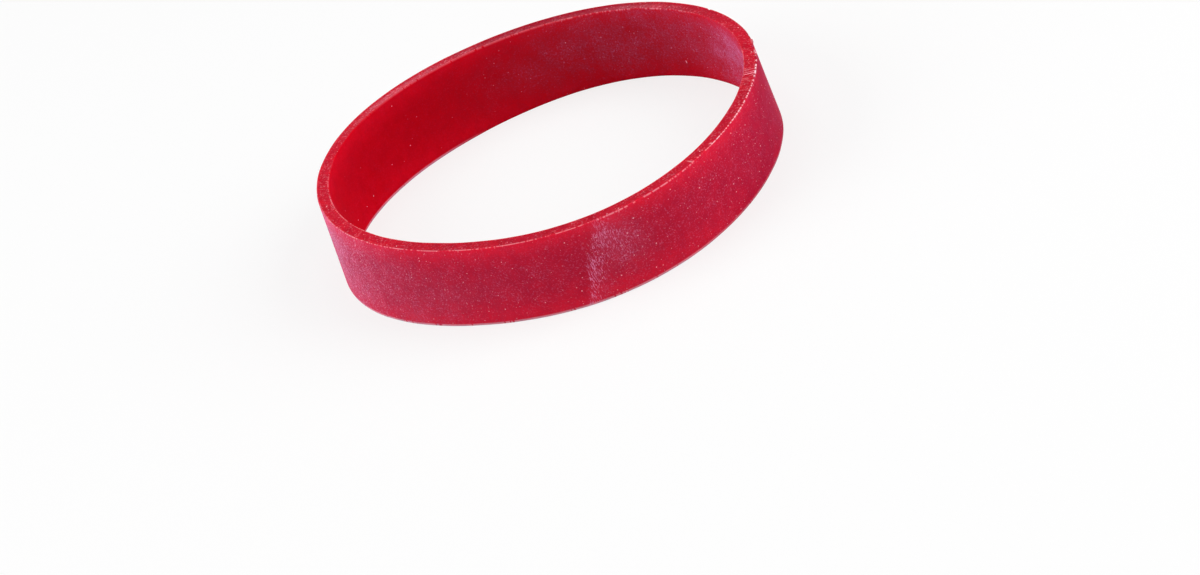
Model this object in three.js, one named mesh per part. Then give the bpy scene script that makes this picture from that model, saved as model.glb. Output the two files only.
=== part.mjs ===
// A wide rubber band, standing relaxed on one of its two cut edges.
//
// Such a band is a slice of an extruded rubber tube, cut across with a knife. Relaxed, it is
// never quite round: it keeps a slight oval and other soft lobes from the packet, its two
// edges lean and twist a little against each other, and the knife leaves the top edge wavy.
// Millimetres, +Z up. The origin is the middle of its bounding box, at the edge it stands on.

import * as THREE from 'three';
import { mergeVertices } from 'three/addons/utils/BufferGeometryUtils.js';

// The slice of tube

const flatLength = 80; // length of the band pressed flat, which is half its way round
const width = 10; // from cut edge to cut edge
const wall = 1.5; // thickness of the rubber
const edgeRadius = 0.12; // how far the cut edges' corners have rounded

// How far the relaxed ring swells out of round, each lobe pointing towards an angle in
// degrees, counted anticlockwise from +X

const ovalSwell = 0.93;
const ovalToward = -29;
const threeLobeSwell = 0.55;
const threeLobeToward = 44;
const fourLobeSwell = 0.14;
const fourLobeToward = -1;
const fiveLobeSwell = 0.07;
const fiveLobeToward = -7;

// How the wall stands: how much further out the lower edge lies than the upper one

const lowerEdgeLean = 0.33; // on the side the band leans away from
const lowerEdgeLeanToward = 181;
const lowerEdgeTwist = 0.88; // on two opposite sides, and as much further in between them
const lowerEdgeTwistToward = 23;

// How the knife wandered along the upper edge

const longWaveRise = 0.31; // two crests on the way round
const longWaveToward = -42;
const shortWaveRise = 0.09; // three crests on the way round
const shortWaveToward = 27;

// Fineness of the faces

const stepsAround = 168;
const stepsPerCorner = 2;
const stepsUpWall = 2;

const meanRadius = flatLength / Math.PI;

const swells = [
  { crests: 2, height: ovalSwell, toward: ovalToward },
  { crests: 3, height: threeLobeSwell, toward: threeLobeToward },
  { crests: 4, height: fourLobeSwell, toward: fourLobeToward },
  { crests: 5, height: fiveLobeSwell, toward: fiveLobeToward },
];

const spreads = [
  { crests: 1, height: lowerEdgeLean, toward: lowerEdgeLeanToward },
  { crests: 2, height: lowerEdgeTwist, toward: lowerEdgeTwistToward },
];

const rises = [
  { crests: 2, height: longWaveRise, toward: longWaveToward },
  { crests: 3, height: shortWaveRise, toward: shortWaveToward },
];

// How far round from its crest a wave is at an angle, in radians
function phaseOf(wave, angle) {
  return wave.crests * (angle - THREE.MathUtils.degToRad(wave.toward));
}

// Height of several waves together at an angle
function heightOf(waves, angle) {
  return waves.reduce((sum, wave) => sum + wave.height * Math.cos(phaseOf(wave, angle)), 0);
}

// Slope of the same height, for each radian
function slopeOf(waves, angle) {
  return waves.reduce((sum, wave) => sum - wave.crests * wave.height * Math.sin(phaseOf(wave, angle)), 0);
}

// Point of the relaxed band at an angle, a depth into the wall from its outer face, and a
// share of the width from the lower edge to the upper one
function bandPoint(angle, depth, share) {
  const spread = 0.5 - share;
  const radius = meanRadius + heightOf(swells, angle) + spread * heightOf(spreads, angle);
  const slope = slopeOf(swells, angle) + spread * slopeOf(spreads, angle);
  const radial = new THREE.Vector2(Math.cos(angle), Math.sin(angle));
  const along = new THREE.Vector2(-radial.y, radial.x).multiplyScalar(radius).addScaledVector(radial, slope);
  const inward = new THREE.Vector2(-along.y, along.x).normalize();
  const place = radial.multiplyScalar(radius).addScaledVector(inward, depth);
  return new THREE.Vector3(place.x, place.y, share * (width + heightOf(rises, angle)));
}

// Section of the wall with its cut corners rounded, as radius and height, closed on itself
function wallSection() {
  const round = Math.min(edgeRadius, wall / 3);
  const inner = meanRadius - wall;
  const section = [];
  const addCorner = (radius, height, startAngle) => {
    for (let step = 0; step <= stepsPerCorner; step += 1) {
      const angle = startAngle + (step / stepsPerCorner) * (Math.PI / 2);
      section.push(new THREE.Vector2(radius + round * Math.cos(angle), height + round * Math.sin(angle)));
    }
  };
  const addWall = (radius, from, to) => {
    for (let step = 1; step < stepsUpWall; step += 1) {
      section.push(new THREE.Vector2(radius, THREE.MathUtils.lerp(from, to, step / stepsUpWall)));
    }
  };
  addCorner(meanRadius - round, round, -Math.PI / 2);
  addWall(meanRadius, round, width - round);
  addCorner(meanRadius - round, width - round, 0);
  addCorner(inner + round, width - round, Math.PI / 2);
  addWall(inner, width - round, round);
  addCorner(inner + round, round, Math.PI);
  section.push(section[0].clone());
  return section;
}

// The true ring, with every vertex then moved to where the relaxed band has it
function bandGeometry() {
  let geometry = new THREE.LatheGeometry(wallSection(), stepsAround);
  geometry.rotateX(Math.PI / 2);
  geometry.deleteAttribute('normal');
  geometry.deleteAttribute('uv');
  geometry = mergeVertices(geometry);
  const position = geometry.getAttribute('position');
  for (let index = 0; index < position.count; index += 1) {
    const x = position.getX(index);
    const y = position.getY(index);
    const point = bandPoint(Math.atan2(y, x), meanRadius - Math.hypot(x, y), position.getZ(index) / width);
    position.setXYZ(index, point.x, point.y, point.z);
  }
  geometry.computeVertexNormals();
  return geometry;
}

// Puts the middle of the bounding box over the origin
function centreOnOrigin(geometry) {
  geometry.computeBoundingBox();
  const middle = geometry.boundingBox.getCenter(new THREE.Vector3());
  geometry.translate(-middle.x, -middle.y, 0);
  return geometry;
}

const redRubber = new THREE.MeshStandardMaterial({ color: 0xb3213e, roughness: 0.6, metalness: 0 });

const band = new THREE.Mesh(centreOnOrigin(bandGeometry()), redRubber);
band.name = 'rubber_band';

const group = new THREE.Group();
group.add(band);

export default group;
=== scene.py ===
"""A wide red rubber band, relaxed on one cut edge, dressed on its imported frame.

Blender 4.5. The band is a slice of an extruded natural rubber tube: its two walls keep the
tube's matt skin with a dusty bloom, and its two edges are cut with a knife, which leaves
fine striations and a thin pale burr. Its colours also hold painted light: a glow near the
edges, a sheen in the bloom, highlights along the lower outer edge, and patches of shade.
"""

import logging
import math
from dataclasses import dataclass
from enum import Enum
from typing import ClassVar

import bpy
import numpy as np
from mathutils import Matrix, Vector


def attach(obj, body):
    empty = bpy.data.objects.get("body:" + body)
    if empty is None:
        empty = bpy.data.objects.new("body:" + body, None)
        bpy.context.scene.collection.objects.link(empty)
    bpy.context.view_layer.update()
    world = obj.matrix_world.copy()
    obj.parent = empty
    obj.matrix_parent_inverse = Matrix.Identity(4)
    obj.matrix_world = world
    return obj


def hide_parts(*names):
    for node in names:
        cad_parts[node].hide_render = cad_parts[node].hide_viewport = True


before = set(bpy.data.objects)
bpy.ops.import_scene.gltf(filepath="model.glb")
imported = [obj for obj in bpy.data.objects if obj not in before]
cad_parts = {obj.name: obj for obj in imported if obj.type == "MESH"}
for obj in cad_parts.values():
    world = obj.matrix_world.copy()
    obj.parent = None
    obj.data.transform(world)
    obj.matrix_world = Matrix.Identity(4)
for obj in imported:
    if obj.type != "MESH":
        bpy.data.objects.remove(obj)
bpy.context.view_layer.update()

MM = 0.001
LOG = logging.getLogger("rubber_band")

Tree = bpy.types.NodeTree
Source = bpy.types.Node | bpy.types.NodeSocket  # what feeds an input: a node stands for its first output


def linear_colour(code: str) -> tuple[float, float, float, float]:
    """Turn an sRGB hex colour into linear numbers.

    Args:
        code: Six hex digits after a hash, such as "#b3213e".

    Returns:
        Red, green, blue and an alpha of 1.
    """
    shares = [int(code[place:place + 2], 16) / 255.0 for place in (1, 3, 5)]
    red, green, blue = (
        share / 12.92 if share <= 0.04045 else ((share + 0.055) / 1.055) ** 2.4 for share in shares
    )
    return red, green, blue, 1.0


def add_node(
    tree: Tree, kind: str, inputs: dict[str | int, object] | None = None, **settings: object
) -> bpy.types.Node:
    """Add one node with its settings, and link or set its inputs.

    Args:
        tree: The node tree that gets the node.
        kind: The node's class name, without the ShaderNode in front.
        inputs: For each input's name or number, a source to link or a plain value to set.
        settings: Properties of the node.

    Returns:
        The new node.
    """
    node = tree.nodes.new("ShaderNode" + kind)
    for name, value in settings.items():
        setattr(node, name, value)
    for key, value in (inputs or {}).items():
        if isinstance(value, bpy.types.Node):
            value = value.outputs[0]
        if isinstance(value, bpy.types.NodeSocket):
            tree.links.new(value, node.inputs[key])
        else:
            node.inputs[key].default_value = value
    return node


def empty_tree(owner: bpy.types.Material | bpy.types.World) -> Tree:
    """Turn on the nodes of a material or of the world, and clear them away."""
    owner.use_nodes = True
    owner.node_tree.nodes.clear()
    return owner.node_tree


def painted(tree: Tree, name: str) -> Source:
    """A mask that is painted on the band's points."""
    return add_node(tree, "Attribute", attribute_name=name).outputs["Fac"]


def soft_step(value: np.ndarray, low: float, high: float) -> np.ndarray:
    """Rise smoothly from 0 at low to 1 at high.

    Args:
        value: Where to read the step.
        low: Where it leaves 0.
        high: Where it reaches 1.

    Returns:
        The step's height at each value.
    """
    share = np.clip((value - low) / (high - low), 0.0, 1.0)
    return share * share * (3.0 - 2.0 * share)


def angle_between(angle: np.ndarray, toward: float) -> np.ndarray:
    """Degrees from one angle to each of several, the short way round, from -180 to 180."""
    return (angle - toward + 180.0) % 360.0 - 180.0


class Region(Enum):
    """The kinds of surface on the band, in the order of its material slots."""

    OUTER = 0
    INNER = 1
    CUT = 2


class Corner(Enum):
    """The four corners of the wall's section: share of the wall's depth, share of the width."""

    UPPER_OUTER = (0.0, 1.0)
    UPPER_INNER = (1.0, 1.0)
    LOWER_INNER = (1.0, 0.0)
    LOWER_OUTER = (0.0, 0.0)


@dataclass(frozen=True)
class Wave:
    """A round wave on the way round the band.

    Attributes:
        crests: How many crests it has on the way round.
        height: How high each crest is, in mm.
        toward: The angle of one crest, in degrees anticlockwise from +X.
    """

    crests: int
    height: float
    toward: float

    def at(self, angle: np.ndarray) -> np.ndarray:
        """Height in mm at angles in radians."""
        return self.height * np.cos(self.crests * (angle - math.radians(self.toward)))

    def slope(self, angle: np.ndarray) -> np.ndarray:
        """Slope in mm for each radian, at angles in radians."""
        return -self.crests * self.height * np.sin(self.crests * (angle - math.radians(self.toward)))


@dataclass(frozen=True)
class Ripple:
    """Uneven ripples on the way round, which close on themselves.

    Attributes:
        shortest: Least length from crest to crest, in mm.
        longest: Greatest length from crest to crest, in mm.
        seed: Seed of the chance lengths and places.
        terms: How many round waves are added up.
    """

    shortest: float
    longest: float
    seed: int
    terms: int = 14

    def at(self, angle: np.ndarray, way_round: float) -> np.ndarray:
        """Height of the ripples, mostly from -1 to 1.

        Args:
            angle: Angles in radians.
            way_round: Length of the whole way round, in mm.

        Returns:
            The height at each angle.
        """
        chance = np.random.default_rng(self.seed)
        crests = np.round(way_round / chance.uniform(self.shortest, self.longest, self.terms))
        starts = chance.uniform(0.0, math.tau, self.terms)
        total = sum(np.cos(count * angle + start) for count, start in zip(crests, starts))
        return total / math.sqrt(self.terms)


@dataclass(frozen=True)
class Section:
    """Where points of the band lie in the true ring.

    Attributes:
        angle: Angles in radians.
        depth: Depths into the wall from its outer face, in mm.
        height: Heights above the lower edge, in mm.
        wall: Thickness of the wall, in mm.
        width: Width of the band, in mm.
    """

    angle: np.ndarray
    depth: np.ndarray
    height: np.ndarray
    wall: float
    width: float

    @property
    def degrees(self) -> np.ndarray:
        """The angles in degrees, from 0 to 360."""
        return np.degrees(self.angle) % 360.0


@dataclass(frozen=True)
class EdgeLine:
    """A pale line along a stretch of one edge: a burr that the knife left or a rubbed corner, and on the
    lower outer edge a painted highlight.

    Attributes:
        corner: The edge that it follows.
        start: First angle, in degrees.
        end: Last angle, in degrees, past 360 where it runs over +X.
        pallor: How pale it is, from 0 to 1.
        burr: How far it stands out, in mm.
        fade: Over how many degrees it fades out at each end.
        reach: Half its width, in mm.
        drop: How far below the edge it runs on the outer wall, in mm.
        broken: How much its teeth break it up, from 0 to 1.
    """

    corner: Corner
    start: float
    end: float
    pallor: float
    burr: float = 0.0
    fade: float = 2.0
    reach: float = 0.1
    drop: float = 0.0
    broken: float = 0.5

    softness = 0.4  # how softly its sides fade, as a share of its reach

    def along(self, degrees: np.ndarray) -> np.ndarray:
        """1 along the stretch and 0 past its ends, which are soft."""
        half = (self.end - self.start) / 2.0
        away = np.abs(angle_between(degrees, self.start + half))
        return 1.0 - soft_step(away, half - self.fade, half + self.fade)

    def across(self, section: Section) -> np.ndarray:
        """1 on the line and 0 beside it.

        Args:
            section: Where the points lie in the true ring.

        Returns:
            The mask.
        """
        depth_share, height_share = self.corner.value
        away = np.hypot(
            section.depth - depth_share * section.wall,
            section.height - height_share * section.width + self.drop,
        )
        fade = self.softness * self.reach
        return 1.0 - soft_step(away, self.reach - fade, self.reach + fade)


@dataclass(frozen=True)
class Nick:
    """A small bite out of the upper outer edge.

    Attributes:
        toward: Its angle, in degrees.
        reach: Half its length, in degrees.
        depth: How deep it goes, in mm.
        fall: How far in from the edge it is felt, in mm.
    """

    toward: float
    reach: float
    depth: float
    fall: float = 0.4

    def at(self, section: Section) -> np.ndarray:
        """Depth in mm at points of the wall."""
        away = angle_between(section.degrees, self.toward) / self.reach
        from_edge = np.hypot(section.depth, section.height - section.width)
        return self.depth * np.exp(-(away**2)) * (1.0 - soft_step(from_edge, 0.0, self.fall))


@dataclass(frozen=True)
class Spot:
    """A soft spot painted on a wall.

    Attributes:
        toward: Its middle angle, in degrees.
        height: Its middle height above the lower edge, in mm.
        reach: Half its length on the way round, in degrees.
        rise: Half its height, in mm.
        strength: How strong it is in the middle.
        slant: How far its middle moves on for each mm of height, in degrees.
        front: Its reach on the clockwise side, as a share of the other side's.
    """

    toward: float
    height: float
    reach: float
    rise: float
    strength: float
    slant: float = 0.0
    front: float = 1.0

    def at(self, degrees: np.ndarray, height: np.ndarray) -> np.ndarray:
        """Strength at angles in degrees and heights in mm."""
        away = angle_between(degrees - self.slant * (height - self.height), self.toward)
        away = np.where(away < 0.0, away / self.front, away)
        return self.strength * np.exp(-((away / self.reach) ** 2) - ((height - self.height) / self.rise) ** 2)


@dataclass(frozen=True)
class Dust:
    """Fine specks of one size, at most one in each cell of a loose grid.

    Attributes:
        cell_mm: Size of the cells.
        radius_mm: Radius of the largest speck.
        share: Share of the cells that hold one.
        strength: How much the palest one covers.
    """

    cell_mm: float
    radius_mm: float
    share: float
    strength: float

    core = 0.3  # share of a speck's radius where it is palest

    def mask(self, tree: Tree, lap: Source, crowd: Source) -> Source:
        """Build the specks' mask.

        Args:
            tree: The material's node tree.
            lap: The unrolled map, in mm.
            crowd: Share of the specks that there are at each place.

        Returns:
            The mask.
        """
        cells = add_node(
            tree, "TexVoronoi", {"Vector": lap, "Scale": 1.0 / self.cell_mm}, voronoi_dimensions="2D"
        )
        chance = add_node(tree, "SeparateColor", {0: cells.outputs["Color"]})
        share = add_node(tree, "Math", {0: crowd, 1: self.share}, operation="MULTIPLY")
        drawn = add_node(tree, "Math", {0: chance, 1: share}, operation="LESS_THAN")
        radius = self.radius_mm / self.cell_mm
        ends = {"From Min": radius, "From Max": self.core * radius, "To Max": self.strength}
        dot = add_node(tree, "MapRange", {"Value": cells.outputs["Distance"]} | ends)
        pale = add_node(tree, "Math", {0: dot, 1: drawn}, operation="MULTIPLY")
        return add_node(tree, "Math", {0: pale, 1: chance.outputs[1]}, operation="MULTIPLY")


@dataclass(frozen=True)
class Fleck:
    """One pale fleck on a wall.

    Attributes:
        toward: Its angle, in degrees.
        height: Its height above the lower edge, in mm.
        radius_mm: Its radius on the way round.
        tall: How many times taller than long it is.
    """

    toward: float
    height: float
    radius_mm: float
    tall: float = 1.0

    core = 0.4  # share of its radius where it is palest
    strength = 0.9  # how much its middle covers

    def mask(self, tree: Tree, lap: Source, way_round: float, depth: float) -> Source:
        """Build the fleck's mask.

        Args:
            tree: The material's node tree.
            lap: The unrolled map, in mm.
            way_round: Length of the map on the way round, in mm.
            depth: Depth of the wall's face, which the map adds to the height, in mm.

        Returns:
            The mask.
        """
        place = (self.toward / 360.0 * way_round, self.height + depth, 0.0)
        away = add_node(tree, "VectorMath", {0: lap, 1: place}, operation="SUBTRACT")
        share = (1.0 / self.radius_mm, 1.0 / (self.radius_mm * self.tall), 0.0)
        scaled = add_node(tree, "VectorMath", {0: away, 1: share}, operation="MULTIPLY")
        far = add_node(tree, "VectorMath", {0: scaled}, operation="LENGTH").outputs["Value"]
        ends = {"From Min": 1.0, "From Max": self.core, "To Max": self.strength}
        return add_node(tree, "MapRange", {"Value": far} | ends)


@dataclass(frozen=True)
class Finish:
    """Red natural rubber, cured and a little translucent, so that light glows in it near an edge; that glow
    is painted in too.

    Attributes:
        name: The material's name.
        middle: Colour in the middle of the wall.
        edge: Colour of the painted glow near a cut edge, for the light that gets in there.
        deep: Colour of the darker blotches, where less chalk was mixed in, and of the painted shade.
        bloom_and_sheen: Colour of the dusty bloom, which also carries a painted sheen.
        pale: Colour of burrs, specks and the painted highlights along the lower outer edge.
        stroke: Colour of scratches and striations.
        specular: How much light the bare rubber throws back.
        bloom_base: Least share of bloom all over.
        powder: How much the powdery grit covers.
        dusts: The layers of specks, fine ones first.
        edge_share: How much bloom, grit and blotches are left under the painted glow near the edges, which
            are rubbed more.
        blotchy: How deep the darker blotches are.
        bare_dust: Share of the specks that there are where there is no bloom.
        flecks: Single flecks that stand out.
        face_depth: Depth of this face in the wall, in mm.
        cloud_mm: Size of the clouds in the bloom.
        cloud_spread: How uneven the clouds make it.
    """

    name: str
    middle: str
    edge: str
    deep: str
    bloom_and_sheen: str
    pale: str
    stroke: str
    specular: float
    bloom_base: float
    powder: float
    dusts: tuple[Dust, ...]
    edge_share: float
    blotchy: float
    bare_dust: float
    flecks: tuple[Fleck, ...] = ()
    face_depth: float = 0.0
    cloud_mm: float = 4.5
    cloud_spread: float = 0.4

    stroke_mm: ClassVar[tuple[float, float]]  # width and length of a scratch or striation
    stroke_slant: ClassVar[float]  # how far it leans over from the height of the band, in degrees
    squiggle: ClassVar[float]  # how much it wanders
    bare_share: ClassVar[float]  # height in its noise above which it shows

    way_round_mm = 160.0  # length of the unrolled map
    grain_mm = 0.24  # grain of the surface, drawn a little coarse so that it shows
    grit_mm = 0.17  # size of the powdery grit
    grit_floor = 0.55  # height in its noise above which grit shows
    grit_rise = 0.2  # how much higher it is at its palest
    crowd_mm = 1.6  # size of the places where the grit crowds
    crowding = 0.3  # how much it crowds there
    caking = 2.4  # how much more it shows in the bloom and the painted sheen
    powder_cut_in_shade = 0.9  # how much less it shows where shade is painted, so that the shade stays dark
    settling = 2.5  # how much more specks lie in the bloom and the painted sheen
    cloud_reach = 0.2  # how far about its middle the clouds' noise counts
    grain_reach = 0.12  # how far about its middle the grain's noise counts
    grain_spread = 0.5  # how uneven the grain makes the bloom
    blotch_mm = 1.3  # size of the darker blotches
    blotch_ends = (0.75, 1.25)  # heights of blotch and grain together where a blotch starts and is full
    fineness = 0.6  # how strong the finer layers of each noise are
    stroke_rise = 0.06  # how much higher in its noise a stroke is at its palest
    stroke_cover = 0.8  # how much it covers there
    wear_weight = 0.22  # how much full wear adds to that noise
    relief_mm = 0.02  # height of the grain
    light_share = 0.6  # share of the light that goes into the rubber
    light_path_mm = 1.6  # how far red light travels in it
    light_reach = (1.0, 0.04, 0.04)  # how far red, green and blue light go, as shares of that
    bare_roughness = 0.48
    bloomed_roughness = 0.7
    index = 1.52  # of refraction, for natural rubber

    def material(self) -> bpy.types.Material:
        """Build the material.

        Returns:
            The finished material.
        """
        material = bpy.data.materials.new(self.name)
        tree = empty_tree(material)
        place = add_node(tree, "TexCoord").outputs["Object"]
        spot = add_node(tree, "VectorMath", {0: place, 1: (1 / MM,) * 3}, operation="MULTIPLY")
        lap = add_node(tree, "UVMap", uv_map="unrolled")
        grain = self._noise(tree, spot, self.grain_mm, detail=3.0)
        # The painted glow near the edges keeps bloom, grit and blotches thinner there.
        ends = {"To Min": 1.0, "To Max": self.edge_share}
        middle = add_node(tree, "MapRange", {"Value": painted(tree, "glow")} | ends)
        bloom_and_sheen = self._bloom_and_sheen(tree, spot, grain, middle)
        crowd = add_node(
            tree, "Math", {0: bloom_and_sheen, 1: self.settling, 2: self.bare_dust}, operation="MULTIPLY_ADD"
        )
        specks = [dust.mask(tree, lap, crowd) for dust in self.dusts]
        specks += [fleck.mask(tree, lap, self.way_round_mm, self.face_depth) for fleck in self.flecks]
        # The bloom layer holds the dusty bloom and a painted sheen on the sides that face the left lamp.
        layers = [(self.bloom_and_sheen, bloom_and_sheen), (self.bloom_and_sheen, self._powder(tree, spot, middle, bloom_and_sheen))]
        layers += [(self.pale, mask) for mask in specks]
        # The pale lip layer holds the burrs and the painted highlights along the lower outer edge.
        layers += [(self.stroke, self._strokes(tree, lap)), (self.pale, painted(tree, "lip_and_highlight"))]
        colour = self._bare_colour(tree, spot, grain, middle)
        for code, mask in layers:
            colour = add_node(
                tree, "Mix", {0: mask, 6: colour, 7: linear_colour(code)}, data_type="RGBA"
            ).outputs[2]
        ends = {"To Min": self.bare_roughness, "To Max": self.bloomed_roughness}
        roughness = add_node(tree, "MapRange", {"Value": bloom_and_sheen} | ends)
        bump = add_node(tree, "Bump", {"Height": grain, "Distance": self.relief_mm * MM})
        shader = add_node(
            tree,
            "BsdfPrincipled",
            {
                "Base Color": colour,
                "Roughness": roughness,
                "IOR": self.index,
                "Specular IOR Level": self.specular,
                "Subsurface Weight": self.light_share,
                "Subsurface Radius": self.light_reach,
                "Subsurface Scale": self.light_path_mm * MM,
                "Normal": bump,
            },
        )
        add_node(tree, "OutputMaterial", {"Surface": shader})
        return material

    def _noise(self, tree: Tree, spot: Source, size_mm: float, detail: float) -> Source:
        """Soft noise of one size.

        Args:
            tree: The material's node tree.
            spot: Coordinates in mm.
            size_mm: Size of the noise.
            detail: How many finer layers it has.

        Returns:
            The noise, around 0.5.
        """
        return add_node(
            tree,
            "TexNoise",
            {"Vector": spot, "Scale": 1.0 / size_mm, "Detail": detail, "Roughness": self.fineness},
        )

    def _bare_colour(self, tree: Tree, spot: Source, grain: Source, middle: Source) -> Source:
        """Colour of the bare rubber: painted glow near the edges, blotches and grain, and painted shade.

        Args:
            tree: The material's node tree.
            spot: Object coordinates in mm.
            grain: The surface's grain.
            middle: 1 in the middle of the wall and less near its edges.

        Returns:
            The colour.
        """
        lit = add_node(
            tree,
            "Mix",
            {0: painted(tree, "glow"), 6: linear_colour(self.middle), 7: linear_colour(self.edge)},
            data_type="RGBA",
        ).outputs[2]
        blotches = self._noise(tree, spot, self.blotch_mm, detail=4.0)
        uneven = add_node(tree, "Math", {0: blotches, 1: grain}, operation="ADD")
        ends = {"From Min": self.blotch_ends[0], "From Max": self.blotch_ends[1], "To Max": self.blotchy}
        dark = add_node(tree, "MapRange", {"Value": uneven} | ends)
        # Painted shade darkens the colour toward the deep one, on top of the blotches.
        dark = add_node(
            tree,
            "Math",
            {0: dark, 1: middle, 2: painted(tree, "painted_shade")},
            operation="MULTIPLY_ADD",
            use_clamp=True,
        )
        return add_node(
            tree, "Mix", {0: dark, 6: lit, 7: linear_colour(self.deep)}, data_type="RGBA"
        ).outputs[2]

    def _bloom_and_sheen(self, tree: Tree, spot: Source, grain: Source, middle: Source) -> Source:
        """Share of bloom and painted sheen: the painted amount, broken up by clouds and by the grain.

        Args:
            tree: The material's node tree.
            spot: Object coordinates in mm.
            grain: The surface's grain.
            middle: 1 in the middle of the wall and less near its edges.

        Returns:
            The mask.
        """
        amount = add_node(
            tree,
            "Math",
            {0: middle, 1: self.bloom_base, 2: painted(tree, "bloom_and_sheen")},
            operation="MULTIPLY_ADD",
        )
        clouds = self._noise(tree, spot, self.cloud_mm, detail=5.0)
        for noise, reach, spread in (
            (clouds, self.cloud_reach, self.cloud_spread),
            (grain, self.grain_reach, self.grain_spread),
        ):
            ends = {"From Min": 0.5 - reach, "From Max": 0.5 + reach}
            ends |= {"To Min": 1.0 - spread, "To Max": 1.0 + spread}
            uneven = add_node(tree, "MapRange", {"Value": noise} | ends)
            amount = add_node(tree, "Math", {0: amount, 1: uneven}, operation="MULTIPLY", use_clamp=True)
        return amount

    def _powder(self, tree: Tree, spot: Source, middle: Source, bloom_and_sheen: Source) -> Source:
        """Powdery grit in the skin: the peaks of a fine noise, more of them in some places, less under
        painted shade.

        Args:
            tree: The material's node tree.
            spot: Object coordinates in mm.
            middle: 1 in the middle of the wall and less near its edges.
            bloom_and_sheen: Share of bloom, which the grit thickens.

        Returns:
            The mask.
        """
        grit = self._noise(tree, spot, self.grit_mm, detail=1.0)
        crowd = self._noise(tree, spot, self.crowd_mm, detail=3.0)
        amount = add_node(tree, "Math", {0: crowd, 1: self.crowding, 2: grit}, operation="MULTIPLY_ADD")
        low = self.grit_floor + self.crowding / 2.0
        ends = {"From Min": low, "From Max": low + self.grit_rise}
        peaks = add_node(tree, "MapRange", {"Value": amount} | ends)
        # Less grit shows under the painted shade, so that the shade stays dark.
        ends = {"To Min": self.powder, "To Max": self.powder * (1.0 - self.powder_cut_in_shade)}
        shaded_powder = add_node(tree, "MapRange", {"Value": painted(tree, "painted_shade")} | ends)
        base = add_node(tree, "Math", {0: middle, 1: shaded_powder}, operation="MULTIPLY")
        cover = add_node(
            tree, "Math", {0: bloom_and_sheen, 1: self.caking, 2: base}, operation="MULTIPLY_ADD", use_clamp=True
        )
        return add_node(tree, "Math", {0: peaks, 1: cover}, operation="MULTIPLY")

    def _strokes(self, tree: Tree, lap: Source) -> Source:
        """Short strokes that lie side by side, more of them where the painted wear is heavier.

        Args:
            tree: The material's node tree.
            lap: The unrolled map, in mm.

        Returns:
            The mask.
        """
        width, length = self.stroke_mm
        turn = (0.0, 0.0, math.radians(self.stroke_slant))
        turned = add_node(
            tree, "Mapping", {"Vector": lap, "Rotation": turn, "Scale": (1 / width, 1 / length, 1.0)}
        )
        noise = add_node(
            tree,
            "TexNoise",
            {"Vector": turned, "Scale": 1.0, "Detail": 2.0, "Distortion": self.squiggle},
            noise_dimensions="2D",
        )
        wear = painted(tree, "wear")
        reach = add_node(tree, "Math", {0: wear, 1: self.wear_weight, 2: noise}, operation="MULTIPLY_ADD")
        ends = {"From Min": self.bare_share, "From Max": self.bare_share + self.stroke_rise}
        stroke = add_node(tree, "MapRange", {"Value": reach, "To Max": self.stroke_cover} | ends)
        return add_node(tree, "Math", {0: stroke, 1: wear}, operation="MULTIPLY", use_clamp=True)


@dataclass(frozen=True)
class ExtrudedSkin(Finish):
    """Skin of the extruded tube: matt and dusty, with pale scratches where it is rubbed."""

    stroke_mm = (0.1, 0.5)  # drawn a little coarse, so that the scratches show
    stroke_slant = -33.0
    squiggle = 0.5
    bare_share = 0.72


@dataclass(frozen=True)
class KnifeCut(Finish):
    """Cut edge of the slice: coarser than the skin, with the knife's fine striations across it."""

    grain_mm = 0.32
    grit_mm = 0.26
    stroke_mm = (0.12, 3.0)
    stroke_slant = 1.5
    squiggle = 0.0
    bare_share = 0.74


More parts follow.
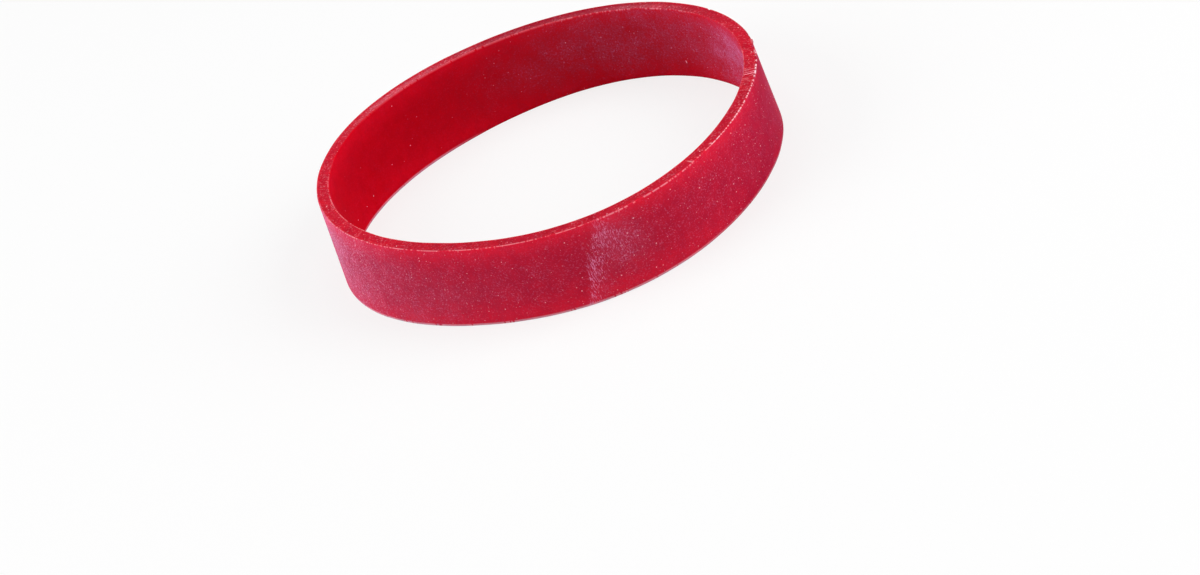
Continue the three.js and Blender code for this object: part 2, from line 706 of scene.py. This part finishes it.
@dataclass
class RubberBand:
    """The band itself, one endless piece.

    Attributes:
        flat_length: Length pressed flat, which is half the way round, in mm.
        width: From cut edge to cut edge, in mm.
        wall: Thickness of the rubber, in mm.
        corner: How far the cut corners have rounded, in mm.
    """

    flat_length: float = 80.0
    width: float = 10.0
    wall: float = 1.5
    corner: float = 0.09

    # Round waves of the radius, of how far the lower edge stands out past the upper, and of the height.
    swells = (Wave(2, 0.93, -29.0), Wave(3, 0.55, 44.0), Wave(4, 0.14, -1.0), Wave(5, 0.07, -7.0))
    spreads = (Wave(1, 0.33, 181.0), Wave(2, 0.88, 23.0))
    rises = (Wave(2, 0.31, -42.0), Wave(3, 0.09, 27.0))

    sector_steps = 112
    doublings = 4  # how often the spun sector is doubled until the ring closes
    corner_steps = 3
    hair = 0.001  # how far past its own row a point may lie, in mm
    smooth_angle = 50.0  # edges sharper than this stay sharp, in degrees
    cut_tilt = 0.75  # faces that point this much up or down belong to a cut edge
    # Where rows of points run, in mm: closest near the edges, where the burr and the teeth need them.
    row_depths = (0.17, 0.3, 0.55, 0.95, 1.2, 1.33)
    row_heights = (0.2, 0.33, 0.6, 1.1, 1.9, 3.2, 5.0, 7.0, 8.2, 9.0, 9.5, 9.75)

    glow_reach = (2.4, 1.9)  # how far in from the lower and the upper edge the painted glow reaches, in mm
    # Painted shade: stretches of the lower edge where the painted glow is held back.
    shaded_edges = (Spot(335.0, 0.0, 32.0, 4.5, 0.85), Spot(160.0, 0.0, 24.0, 4.0, 0.62))

    thickness = Ripple(5.0, 16.0, seed=3, terms=6)
    thickness_height = 0.025  # in mm, as the striations' is
    teeth = (Ripple(0.45, 1.4, seed=5), Ripple(0.25, 0.6, seed=7), Ripple(2.5, 8.0, seed=6, terms=8))
    gap_ends = (-2.4, 0.8)  # height of the ripples below which a gap lies: unbroken, and broken in full
    tooth_flank = 0.4  # half the height over which a tooth's flank rises
    striation = Ripple(0.22, 0.8, seed=8)
    striation_height = 0.03
    least_striation = 0.15  # share of that height where nothing has worn the rim
    rim_from = 0.9  # the upper rim's striations start at this share of the width

    edge_lines = (
        EdgeLine(Corner.UPPER_OUTER, 184.0, 217.0, 0.42, burr=0.03, reach=0.06, fade=6.0, broken=0.8),
        EdgeLine(Corner.UPPER_OUTER, 214.0, 274.0, 0.45, burr=0.015, reach=0.055, broken=0.63),
        EdgeLine(
            Corner.UPPER_OUTER, 273.0, 300.5, 0.5, burr=0.015, reach=0.055, drop=0.1, fade=0.5, broken=0.7
        ),
        EdgeLine(Corner.UPPER_OUTER, 300.5, 308.0, 0.4, reach=0.07, fade=0.5, broken=0.8),
        EdgeLine(Corner.UPPER_OUTER, 308.2, 319.0, 1.0, burr=0.05, reach=0.065, fade=0.3, broken=0.5),
        EdgeLine(Corner.UPPER_OUTER, 318.0, 334.0, 1.0, burr=0.06, reach=0.08, broken=0.85),
        EdgeLine(Corner.UPPER_OUTER, 333.0, 349.0, 1.0, burr=0.09, reach=0.12, broken=0.95),
        EdgeLine(Corner.UPPER_OUTER, 353.5, 355.5, 0.2, burr=0.12, reach=0.16, fade=0.4, broken=0.0),
        EdgeLine(Corner.UPPER_OUTER, 40.0, 115.0, 0.2, reach=0.09, fade=15.0, broken=0.85),
        EdgeLine(Corner.UPPER_INNER, 165.0, 215.0, 0.35, reach=0.09, fade=12.0, broken=0.7),
        EdgeLine(Corner.UPPER_INNER, 328.0, 352.0, 0.3, reach=0.07, fade=6.0, broken=0.5),
        EdgeLine(Corner.UPPER_INNER, 30.0, 75.0, 0.32, reach=0.09, fade=10.0, broken=0.92),
        EdgeLine(Corner.UPPER_INNER, 72.0, 132.0, 0.14, reach=0.12, fade=10.0, broken=0.3),
        # Along the lower outer edge the pale lines are painted highlights of light from below, raised a
        # little off the corner.
        EdgeLine(Corner.LOWER_OUTER, 175.0, 302.0, 0.45, reach=0.13, drop=-0.1, fade=14.0, broken=0.1),
        EdgeLine(Corner.LOWER_OUTER, 300.0, 345.0, 0.2, reach=0.13, drop=-0.1, fade=12.0, broken=0.1),
        EdgeLine(Corner.LOWER_INNER, 112.0, 156.0, 0.5, reach=0.13, drop=-0.1, fade=10.0, broken=0.0),
    )
    nicks = (
        Nick(352.3, 0.9, 0.2, fall=2.2),
        Nick(351.0, 0.3, 0.18, fall=1.2),
        Nick(349.6, 0.3, 0.14),
        Nick(348.7, 0.35, 0.16),
        Nick(346.9, 0.25, 0.15),
        Nick(345.2, 0.25, 0.14),
        Nick(358.5, 0.4, 0.08),
        Nick(22.0, 0.5, 0.1),
    )
    nick_drop = 0.6  # how far a nick lowers the edge for each mm that it goes in

    outer_bloom_and_sheen = (
        # The first spot, round the left end that faces the left lamp, is painted sheen over dusty bloom; the
        # others are dusty bloom and the rubbed patch.
        Spot(176.0, 5.0, 27.0, 16.0, 0.27),
        Spot(196.0, 6.5, 12.0, 2.5, 0.05),
        Spot(228.0, 4.0, 20.0, 3.0, 0.03),
        Spot(218.0, 1.2, 12.0, 2.2, 0.05),
        Spot(268.05, 4.0, 6.5, 6.0, 0.045, slant=0.85, front=0.07),
        Spot(277.5, 6.4, 4.5, 2.8, 0.07, slant=-0.8),
        Spot(6.0, 6.0, 16.0, 6.0, 0.1),
        Spot(60.0, 4.0, 18.0, 4.0, 0.12),
        Spot(105.0, 6.0, 24.0, 5.0, 0.18),
    )
    inner_bloom_and_sheen = (
        # The spots near 0 degrees, on the bore's right end that faces the left lamp, are painted sheen with a
        # painted highlight over dusty bloom; the others are dusty bloom.
        Spot(6.0, 5.5, 24.0, 4.4, 0.19),
        Spot(7.0, 6.8, 7.0, 1.8, 0.16),
        Spot(62.0, 5.2, 31.0, 3.8, 0.06),
        Spot(4.0, 3.0, 13.0, 2.6, 0.08),
        Spot(48.0, 9.3, 24.0, 1.2, 0.06),
        Spot(250.0, 5.0, 40.0, 4.0, 0.06),
        Spot(315.0, 5.0, 30.0, 4.0, 0.14),
    )
    rim_chalk = (
        Spot(48.0, 10.0, 15.0, 1.0, 0.1),
        Spot(95.0, 10.0, 24.0, 1.0, 0.05),
        Spot(124.0, 10.0, 12.0, 1.0, 0.2),
    )
    chalk_depth = (0.4, 0.9)  # over these depths in the wall the rim turns chalky, in mm

    outer_wear = (
        Spot(267.2, 3.0, 4.4, 8.0, 0.77, slant=0.85, front=0.06),
        Spot(267.6, 5.3, 2.0, 1.4, 0.42, slant=0.85, front=0.1),
        Spot(277.5, 6.4, 3.4, 2.8, 0.56, slant=-0.8),
        Spot(230.0, 5.0, 60.0, 3.5, 0.22),
    )
    # Painted shade: where the walls and the rim are darkened toward the deep colour, where less light falls
    # on them.
    outer_shade = (
        Spot(352.0, 6.0, 26.0, 9.0, 0.95),
        Spot(322.0, 1.5, 14.0, 2.5, 0.25),
        Spot(212.0, 5.0, 32.0, 9.0, 0.25),
    )
    inner_shade = (Spot(60.0, 4.5, 42.0, 6.5, 0.48), Spot(42.0, 4.5, 22.0, 6.5, 0.22))
    rim_shade = (
        Spot(72.0, 10.0, 32.0, 1.0, 0.92),
        Spot(230.0, 10.0, 16.0, 1.0, 0.22),
        Spot(265.0, 10.0, 30.0, 1.0, 0.28),
        Spot(24.0, 10.0, 16.0, 1.0, 0.26),
        Spot(325.0, 10.0, 16.0, 1.0, 0.2),
    )
    rim_wear = (
        Spot(338.4, 10.0, 3.4, 1.0, 1.0),
        Spot(330.0, 10.0, 8.0, 1.0, 0.2),
        Spot(200.0, 10.0, 130.0, 1.0, 0.05),
    )
    cross_cuts = (Spot(300.5, 10.0, 0.13, 1.0, 0.5), Spot(308.0, 10.0, 0.13, 1.0, 0.8))
    cross_cut_depth = (0.9, 0.4)  # how far in from the outer wall each one runs, in mm
    outline_steps = 3600  # points round each edge that the ring's middle is taken from

    @property
    def outer_radius(self) -> float:
        """Radius of the true ring's outer face, in mm."""
        return self.flat_length / math.pi

    @property
    def weld(self) -> float:
        """How near two points are taken for one, in metres: a twentieth of the corner."""
        return self.corner * MM / 20.0

    @property
    def way_round(self) -> float:
        """Length of the outer face on the way round, in mm."""
        return 2.0 * self.flat_length

    def build(self) -> bpy.types.Object:
        """Model the band.

        Returns:
            The finished object, in metres, in the frame.
        """
        band = self._section()
        self._spin(band)
        self._sort_faces(band)
        section = self._read_section(band)
        self._unroll(band, section)
        self._paint(band, section)
        self._relax(band, section)
        bpy.ops.object.shade_smooth_by_angle(angle=math.radians(self.smooth_angle))
        return band

    def dress(self, band: bpy.types.Object, finishes: dict[Region, Finish]) -> None:
        """Give each kind of surface its finish.

        Args:
            band: The object.
            finishes: A finish for each region.
        """
        for region in Region:
            band.data.materials.append(finishes[region].material())

    def _section(self) -> bpy.types.Object:
        """Draw the section of the wall as a closed line, with its corners rounded.

        Returns:
            The object that holds the line.
        """
        bpy.ops.object.select_all(action="DESELECT")
        bpy.ops.mesh.primitive_plane_add(
            size=1.0,
            location=((self.outer_radius - self.wall / 2.0) * MM, 0.0, self.width / 2.0 * MM),
            rotation=(math.pi / 2.0, 0.0, 0.0),
        )
        band = bpy.context.active_object
        band.name = "cut_band"
        band.scale = (self.wall * MM, self.width * MM, 1.0)
        bpy.ops.object.transform_apply(location=True, rotation=True, scale=True)
        bpy.ops.object.mode_set(mode="EDIT")
        bpy.ops.mesh.select_all(action="SELECT")
        bpy.ops.mesh.bevel(
            offset=self.corner * MM, offset_type="OFFSET", segments=self.corner_steps, affect="VERTICES"
        )
        bpy.ops.mesh.select_all(action="SELECT")
        bpy.ops.mesh.delete(type="ONLY_FACE")
        cuts = [((self.outer_radius - depth, 0.0, 0.0), (1.0, 0.0, 0.0)) for depth in self.row_depths]
        cuts += [((0.0, 0.0, height), (0.0, 0.0, 1.0)) for height in self.row_heights]
        for place, across in cuts:
            bpy.ops.mesh.select_all(action="SELECT")
            bpy.ops.mesh.bisect(plane_co=Vector(place) * MM, plane_no=across, threshold=self.weld)
        bpy.ops.object.mode_set(mode="OBJECT")
        return band

    def _spin(self, band: bpy.types.Object) -> None:
        """Spin the section into one sector of the true ring, and double that until it closes.

        Args:
            band: The object.
        """
        turn = math.tau / 2**self.doublings
        bpy.ops.object.mode_set(mode="EDIT")
        bpy.ops.mesh.select_all(action="SELECT")
        bpy.ops.mesh.spin(steps=self.sector_steps, angle=turn, center=(0.0, 0.0, 0.0), axis=(0.0, 0.0, 1.0))
        for _ in range(self.doublings):
            bpy.ops.mesh.select_all(action="SELECT")
            bpy.ops.mesh.duplicate()
            bpy.ops.transform.rotate(value=turn, orient_axis="Z", center_override=(0.0, 0.0, 0.0))
            turn *= 2.0
        bpy.ops.mesh.select_all(action="SELECT")
        bpy.ops.mesh.remove_doubles(threshold=self.weld)
        bpy.ops.mesh.select_all(action="SELECT")
        bpy.ops.mesh.normals_make_consistent(inside=False)
        bpy.ops.object.mode_set(mode="OBJECT")

    def _sort_faces(self, band: bpy.types.Object) -> None:
        """Give each face of the true ring the material slot of its region.

        Args:
            band: The object.
        """
        count = len(band.data.polygons)
        normals = np.empty(count * 3)
        centres = np.empty(count * 3)
        band.data.polygons.foreach_get("normal", normals)
        band.data.polygons.foreach_get("center", centres)
        normals, centres = normals.reshape(-1, 3), centres.reshape(-1, 3)
        middle = (self.outer_radius - self.wall / 2.0) * MM
        slots = np.where(
            np.hypot(centres[:, 0], centres[:, 1]) > middle, Region.OUTER.value, Region.INNER.value
        )
        slots[np.abs(normals[:, 2]) > self.cut_tilt] = Region.CUT.value
        band.data.polygons.foreach_set("material_index", slots.astype(np.int32))

    def _read_section(self, band: bpy.types.Object) -> Section:
        """Where the vertices lie in the true ring.

        Args:
            band: The object, before it is relaxed.

        Returns:
            Their angles, depths and heights.
        """
        places = np.empty(len(band.data.vertices) * 3)
        band.data.vertices.foreach_get("co", places)
        places = places.reshape(-1, 3) / MM
        return Section(
            angle=np.arctan2(places[:, 1], places[:, 0]),
            depth=self.outer_radius - np.hypot(places[:, 0], places[:, 1]),
            height=places[:, 2],
            wall=self.wall,
            width=self.width,
        )

    def _unroll(self, band: bpy.types.Object, section: Section) -> None:
        """Add the UV map, in mm: the way round, and the height with the depth added to it.

        The second one runs up the outer wall, in over the cut edge and on without a step.

        Args:
            band: The object.
            section: Where its vertices lie in the true ring.
        """
        mesh = band.data
        corners = np.empty(len(mesh.loops), dtype=np.int32)
        mesh.loops.foreach_get("vertex_index", corners)
        share = (section.angle / math.tau % 1.0)[corners].reshape(-1, 4)
        # A face that runs over +X takes its low shares from past the end of the map.
        crosses = share.max(axis=1) - share.min(axis=1) > 0.5
        share[crosses] += share[crosses] < 0.5
        layer = mesh.uv_layers.new(name="unrolled")
        pairs = np.stack([share.ravel() * self.way_round, (section.height + section.depth)[corners]], axis=1)
        layer.uv.foreach_set("vector", pairs.ravel())

    def _relax(self, band: bpy.types.Object, section: Section) -> None:
        """Move the true ring's vertices to where the relaxed band has them, marks of the knife included.

        Args:
            band: The object.
            section: Where its vertices lie in the true ring.
        """
        smooth = self.place(section.angle, section.depth, section.height)
        middle = (smooth.min(axis=0) + smooth.max(axis=0)) / 2.0
        middle[2] = 0.0
        burr, lift = self._burr(section), self._striation(section)
        bite = self._bite(section)
        depth = section.depth - burr + bite + self._thinning(section)
        height = section.height + burr - lift - self.nick_drop * bite
        relaxed = self.place(section.angle, depth, height) - middle
        band.data.vertices.foreach_set("co", (relaxed * MM).ravel())
        band.data.update()

    def place(self, angle: np.ndarray, depth: np.ndarray, height: np.ndarray) -> np.ndarray:
        """Where the relaxed band has points of the true ring.

        Args:
            angle: Angles in radians.
            depth: Depths into the wall from its outer face, in mm.
            height: Heights above the lower edge of the true ring, in mm.

        Returns:
            The points in mm, one row each.
        """
        share = height / self.width
        spread = 0.5 - share
        radius = self.outer_radius + sum(wave.at(angle) for wave in self.swells)
        radius = radius + spread * sum(wave.at(angle) for wave in self.spreads)
        slope = sum(wave.slope(angle) for wave in self.swells)
        slope = slope + spread * sum(wave.slope(angle) for wave in self.spreads)
        radial = np.stack([np.cos(angle), np.sin(angle)], axis=1)
        across = np.stack([-radial[:, 1], radial[:, 0]], axis=1)
        along = across * radius[:, None] + radial * slope[:, None]
        along /= np.linalg.norm(along, axis=1)[:, None]
        inward = np.stack([-along[:, 1], along[:, 0]], axis=1)
        flat = radial * radius[:, None] + inward * depth[:, None]
        lift = share * (self.width + sum(wave.at(angle) for wave in self.rises))
        return np.column_stack([flat, lift])

    def ring_centre(self) -> Vector:
        """Centre of the true ring in the frame, in metres, at half the width."""
        angle = np.linspace(0.0, math.tau, self.outline_steps, endpoint=False)
        edges = [self.place(angle, np.zeros_like(angle), np.full_like(angle, z)) for z in (0.0, self.width)]
        smooth = np.concatenate(edges)
        middle = (smooth.min(axis=0) + smooth.max(axis=0)) / 2.0
        return Vector((-middle[0], -middle[1], self.width / 2.0)) * MM

    def _teeth(self, section: Section, broken: float) -> np.ndarray:
        """Uneven teeth along an edge, from 0 to 1.

        Args:
            section: Where the points lie in the true ring.
            broken: How deep the gaps between the teeth are, from 0 to 1.

        Returns:
            The teeth's height.
        """
        teeth = sum(ripple.at(section.angle, self.way_round) for ripple in self.teeth)
        unbroken, full = self.gap_ends
        gap = unbroken + (full - unbroken) * broken
        return soft_step(teeth, gap - self.tooth_flank, gap + self.tooth_flank)

    def _on_edges(self, section: Section, amounts: list[float]) -> np.ndarray:
        """Lay each edge line with its own amount, broken up by its teeth.

        Args:
            section: Where the points lie in the true ring.
            amounts: How much of it each line has.

        Returns:
            The greatest amount at each point.
        """
        total = np.zeros_like(section.height)
        for line, amount in zip(self.edge_lines, amounts):
            shape = line.along(section.degrees) * line.across(section)
            total = np.maximum(total, amount * shape * self._teeth(section, line.broken))
        return total

    def _burr(self, section: Section) -> np.ndarray:
        """How far the burrs on the edges stand out, in mm."""
        return self._on_edges(section, [line.burr for line in self.edge_lines])

    def _bite(self, section: Section) -> np.ndarray:
        """How deep the nicks bite into the upper outer edge, in mm."""
        return sum(nick.at(section) for nick in self.nicks)

    def _striation(self, section: Section) -> np.ndarray:
        """How deep the knife's striations lie in the upper cut edge, in mm."""
        worn = self._sum_of(section, self.rim_wear + self.cross_cuts) + self.least_striation
        waves = 0.5 + 0.5 * np.clip(self.striation.at(section.angle, self.way_round), -1.0, 1.0)
        deep = np.clip(worn, 0.0, 1.0) * (section.height > self.rim_from * self.width)
        return self.striation_height * deep * waves

    def _thinning(self, section: Section) -> np.ndarray:
        """How much further in each wall's face lies where the tube came out a little uneven, in mm."""
        waves = 0.5 + 0.5 * self.thickness.at(section.angle, self.way_round)
        inner = 2.0 * section.depth / self.wall
        return self.thickness_height * np.clip(waves, 0.0, 1.0) * (1.0 - inner)

    def _on_walls(
        self, section: Section, outer: tuple[Spot, ...], inner: tuple[Spot, ...], rim: np.ndarray
    ) -> np.ndarray:
        """Lay spots on each wall, and a finished mask on the cut edges.

        Args:
            section: Where the points lie in the true ring.
            outer: The spots on the outer wall.
            inner: The spots on the inner wall.
            rim: The mask of the cut edges.

        Returns:
            The mask of all points.
        """
        walls = [self._sum_of(section, spots) for spots in (outer, inner)]
        side = self.corner + self.hair
        outside, inside = section.depth < side, section.depth > self.wall - side
        return np.where(outside, walls[0], np.where(inside, walls[1], rim))

    def _sum_of(self, section: Section, spots: tuple[Spot, ...]) -> np.ndarray:
        """Several spots together."""
        return sum((spot.at(section.degrees, section.height) for spot in spots), 0.0 * section.height)

    def _paint(self, band: bpy.types.Object, section: Section) -> None:
        """Paint the masks on the vertices: the painted glow near the edges, the painted shade, the bloom with
        its painted sheen, the wear, and the lip with its painted highlights.

        Args:
            band: The object.
            section: Where its vertices lie in the true ring.
        """
        from_lower, from_upper = section.height, self.width - section.height
        lower_glow = np.exp(-((from_lower / self.glow_reach[0]) ** 2))
        upper_glow = np.exp(-((from_upper / self.glow_reach[1]) ** 2))
        chalk = self._sum_of(section, self.rim_chalk) * soft_step(section.depth, *self.chalk_depth)
        masks = {
            "glow": np.maximum(lower_glow, upper_glow) * (1.0 - self._sum_of(section, self.shaded_edges)),
            "painted_shade": self._on_walls(
                section, self.outer_shade, self.inner_shade, self._sum_of(section, self.rim_shade)
            ),
            "bloom_and_sheen": self._on_walls(section, self.outer_bloom_and_sheen, self.inner_bloom_and_sheen, chalk),
            "wear": self._on_walls(section, self.outer_wear, (), self._sum_of(section, self.rim_wear)),
            "lip_and_highlight": self._lip_and_highlight(section),
        }
        for name, values in masks.items():
            layer = band.data.attributes.new(name, "FLOAT", "POINT")
            layer.data.foreach_set("value", values.astype(np.float32))

    def _lip_and_highlight(self, section: Section) -> np.ndarray:
        """How pale the lines along the edges, the painted highlights among them, and the cuts across the rim
        are.

        Args:
            section: Where the points lie in the true ring.

        Returns:
            The mask.
        """
        lip_and_highlight = self._on_edges(section, [line.pallor for line in self.edge_lines])
        for cut, reach in zip(self.cross_cuts, self.cross_cut_depth):
            across = (section.depth < reach) & (section.height > self.width - self.corner)
            lip_and_highlight = np.maximum(lip_and_highlight, cut.at(section.degrees, section.height) * across)
        return lip_and_highlight


@dataclass
class PhotoCamera:
    """A camera that sees the band as the photograph does.

    Attributes:
        distance: From the band's middle, in mm.
        elevation: How far it looks down, in degrees.
        roll: How far it is turned about its view, in degrees.
        focal_px: Focal length in pixels of the photograph.
        middle_px: Where the band's middle lies in the photograph.
    """

    distance: float = 356.5
    elevation: float = 27.936
    roll: float = 22.928
    focal_px: float = 3162.33
    middle_px: tuple[float, float] = (551.533, 158.384)

    frame_px = (1200.0, 575.0)
    sensor = 36.0  # width, in mm
    nearest = 0.01  # how near it still sees, in metres

    def build(self, target: Vector) -> None:
        """Place the camera and make it the scene's own.

        Args:
            target: The band's middle, in metres.
        """
        lens = bpy.data.cameras.new("photo_camera")
        lens.sensor_fit = "HORIZONTAL"
        lens.sensor_width = self.sensor
        lens.lens = self.focal_px * self.sensor / self.frame_px[0]
        lens.clip_start = self.nearest
        camera = bpy.data.objects.new("photo_camera", lens)
        bpy.context.scene.collection.objects.link(camera)
        tilt, roll = math.radians(self.elevation), math.radians(self.roll)
        back = Vector((0.0, -math.cos(tilt), math.sin(tilt)))
        right = Vector((1.0, 0.0, 0.0))
        up = back.cross(right)
        level = Matrix((
            right * math.cos(roll) - up * math.sin(roll),
            right * math.sin(roll) + up * math.cos(roll),
            back,
        ))
        off = [(at - size / 2.0) / self.focal_px for at, size in zip(self.middle_px, self.frame_px)]
        aside = Vector((0.0, 0.0, -1.0)).rotation_difference(Vector((off[0], -off[1], -1.0))).to_matrix()
        turned = (aside @ level).transposed().to_4x4()
        camera.matrix_world = Matrix.Translation(target + back * self.distance * MM) @ turned
        bpy.context.scene.camera = camera


@dataclass(frozen=True)
class Softbox:
    """A large soft lamp aimed at the band.

    Attributes:
        name: Its name.
        toward: Its angle round the band, in degrees from +X.
        elevation: Its angle above the floor, in degrees.
        distance: From the band, in m.
        side: Length of its sides, in m.
        power: In watts.
    """

    name: str
    toward: float
    elevation: float
    distance: float
    side: float
    power: float

    def build(self) -> None:
        """Hang the lamp."""
        lamp = bpy.data.lights.new(self.name, "AREA")
        lamp.shape = "SQUARE"
        lamp.size = self.side
        lamp.energy = self.power
        turn, lift = math.radians(self.toward), math.radians(self.elevation)
        away = Vector((math.cos(turn) * math.cos(lift), math.sin(turn) * math.cos(lift), math.sin(lift)))
        box = bpy.data.objects.new(self.name, lamp)
        bpy.context.scene.collection.objects.link(box)
        box.location = away * self.distance
        box.rotation_euler = away.to_track_quat("Z", "Y").to_euler()


@dataclass
class Studio:
    """A plain white table top in soft light.

    Attributes:
        floor_radius: Radius of the table top, in m.
        floor_colour: Its colour.
        backdrop_share: Share of its look that is plain white, with no shade.
        sky: Strength of the even light from all around.
        lamps: The soft lamps.
    """

    floor_radius: float = 2.0
    floor_colour: str = "#f2f2f2"
    backdrop_share: float = 0.75
    sky: float = 0.38
    lamps: tuple[Softbox, ...] = (
        Softbox("left_softbox", 186.0, 30.0, 0.6, 0.45, 1.93),
        Softbox("right_softbox", 342.0, 34.0, 0.6, 0.45, 2.45),
        Softbox("top_softbox", 90.0, 78.0, 0.7, 0.6, 1.3),
    )

    floor_sides = 96

    def build(self) -> None:
        """Lay the table top, and set up the light and the view."""
        bpy.ops.object.select_all(action="DESELECT")
        bpy.ops.mesh.primitive_circle_add(
            vertices=self.floor_sides, radius=self.floor_radius, fill_type="NGON"
        )
        floor = bpy.context.active_object
        floor.name = "table_top"
        floor.data.materials.append(self._paper())
        for lamp in self.lamps:
            lamp.build()
        self._sky()
        bpy.context.scene.view_settings.view_transform = "Standard"

    def _seen_directly(self, tree: Tree) -> Source:
        """1 for the rays that show the background: camera, glossy and transmission rays."""
        path = add_node(tree, "LightPath")
        first = add_node(
            tree,
            "Math",
            {0: path.outputs["Is Camera Ray"], 1: path.outputs["Is Glossy Ray"]},
            operation="MAXIMUM",
        )
        return add_node(
            tree, "Math", {0: first, 1: path.outputs["Is Transmission Ray"]}, operation="MAXIMUM"
        )

    def _paper(self) -> bpy.types.Material:
        """White paper, which keeps a soft shadow.

        Returns:
            The material.
        """
        material = bpy.data.materials.new("white_paper")
        tree = empty_tree(material)
        matt = add_node(tree, "BsdfDiffuse", {"Color": linear_colour(self.floor_colour)})
        white = add_node(tree, "Emission", {"Strength": 1.0})
        seen = self._seen_directly(tree)
        share = add_node(tree, "Math", {0: seen, 1: self.backdrop_share}, operation="MULTIPLY")
        both = add_node(tree, "MixShader", {0: share, 1: matt, 2: white})
        add_node(tree, "OutputMaterial", {"Surface": both})
        return material

    def _sky(self) -> None:
        """Even light from all around, seen as plain white."""
        world = bpy.data.worlds.new("studio")
        bpy.context.scene.world = world
        tree = empty_tree(world)
        ends = {"To Min": self.sky, "To Max": 1.0}
        strength = add_node(tree, "MapRange", {"Value": self._seen_directly(tree)} | ends)
        light = add_node(tree, "Background", {"Strength": strength})
        add_node(tree, "OutputWorld", {"Surface": light})


FINISHES: dict[Region, Finish] = {
    # The tube's outside, extruded and cured in fine powder: matt, greyed by a pink bloom that also carries a
    # painted sheen, with pale specks.
    Region.OUTER: ExtrudedSkin(
        name="extruded_red_rubber_outer_skin",
        middle="#bb1936",
        edge="#de203c",
        deep="#9a1030",
        bloom_and_sheen="#ee90bc",
        pale="#ffd0e0",
        stroke="#f098c8",
        specular=0.002,
        bloom_base=0.008,
        powder=0.19,
        dusts=(Dust(0.5, 0.06, 0.7, 0.6), Dust(1.0, 0.07, 0.8, 1.0), Dust(2.3, 0.088, 0.4, 1.0)),
        flecks=(
            Fleck(282.0, 8.2, 0.09),
            Fleck(285.0, 4.0, 0.08),
            Fleck(283.0, 1.3, 0.08),
            Fleck(265.0, 8.6, 0.08),
        ),
        edge_share=0.5,
        blotchy=0.55,
        bare_dust=0.22,
    ),
    # The tube's bore, which nothing has rubbed: a deeper, cleaner red, with the bloom and a painted sheen in
    # soft clouds.
    Region.INNER: ExtrudedSkin(
        name="extruded_red_rubber_inner_skin",
        middle="#bc061a",
        edge="#d40c24",
        deep="#9c0412",
        bloom_and_sheen="#dc88c4",
        pale="#f0b8d4",
        stroke="#e4a8c4",
        specular=0.002,
        bloom_base=0.0,
        powder=0.02,
        dusts=(Dust(0.6, 0.065, 0.7, 0.5), Dust(1.2, 0.08, 0.7, 0.9)),
        flecks=(
            Fleck(37.5, 2.2, 0.11, 2.4),
            Fleck(127.0, 3.6, 0.07),
            Fleck(135.0, 3.2, 0.06),
            Fleck(150.0, 1.9, 0.06),
        ),
        face_depth=1.5,
        edge_share=0.65,
        blotchy=0.45,
        bare_dust=0.02,
        cloud_mm=2.6,
        cloud_spread=0.6,
    ),
    # The inside of the rubber, laid open by the knife: brighter and grainy, with chalk and pale striations.
    Region.CUT: KnifeCut(
        name="knife_cut_red_rubber",
        middle="#cc1a30",
        edge="#cc1a30",
        deep="#981026",
        bloom_and_sheen="#f0a0b4",
        pale="#ffe0e8",
        stroke="#f8b0c4",
        specular=0.01,
        bloom_base=0.0,
        powder=0.22,
        dusts=(Dust(0.5, 0.075, 0.3, 0.4), Dust(1.8, 0.09, 0.35, 1.0)),
        edge_share=1.0,
        blotchy=0.6,
        bare_dust=1.0,
    ),
}


def main() -> None:
    """Build the studio and the band, in order."""
    logging.basicConfig(level=logging.INFO, format="%(name)s: %(message)s")
    Studio().build()
    LOG.info("studio ready")
    band = RubberBand()
    piece = band.build()
    band.dress(piece, FINISHES)
    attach(piece, "root")
    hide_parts("rubber_band")
    LOG.info("%s: %d faces", piece.name, len(piece.data.polygons))
    PhotoCamera().build(band.ring_centre())
    LOG.info("camera ready")


if __name__ == "__main__":
    main()
